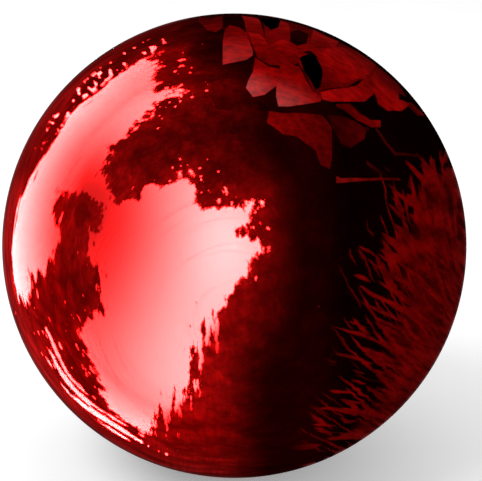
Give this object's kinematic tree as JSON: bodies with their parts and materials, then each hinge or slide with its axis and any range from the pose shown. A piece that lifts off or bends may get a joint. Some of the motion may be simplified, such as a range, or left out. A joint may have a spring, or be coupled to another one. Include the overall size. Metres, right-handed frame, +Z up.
{
  "type": "garden gazing ball",
  "caption": "Hollow mirror-polished stainless steel ball with a transparent red finish, standing on a pressed foot ring, with a tapped boss for a stand and a plugged vent hole underneath.",
  "frame": {"origin": "centre of the foot ring, on the surface that the ball stands on", "axes": "+Z up through the poles of the ball, square to the welded seam; +X from the ball's axis towards the vent plug"},
  "size_m": [0.254, 0.254, 0.2515],
  "materials": {
    "red_mirror": "mirror-polished stainless steel under a transparent red lacquer",
    "bare_steel": "turned or rolled stainless steel, unpolished",
    "weld_steel": "stainless weld metal, as laid",
    "plug_rubber": "moulded EPDM rubber, matt black"
  },
  "bodies": {
    "ball": {"upper_shell": "red_mirror", "lower_shell": "red_mirror", "seam_weld": "red_mirror", "seam_backing_ring": "bare_steel", "reinforcing_plate": "bare_steel", "plate_weld": "weld_steel", "mounting_boss": "bare_steel", "boss_weld": "weld_steel"},
    "vent_plug": {"vent_plug": "plug_rubber"}
  },
  "joints": [
    {"name": "vent_plug_pull", "type": "slide", "parent": "ball", "child": "vent_plug", "axis": [0, 0, -1], "range_m": [0, 0.012]}
  ]
}
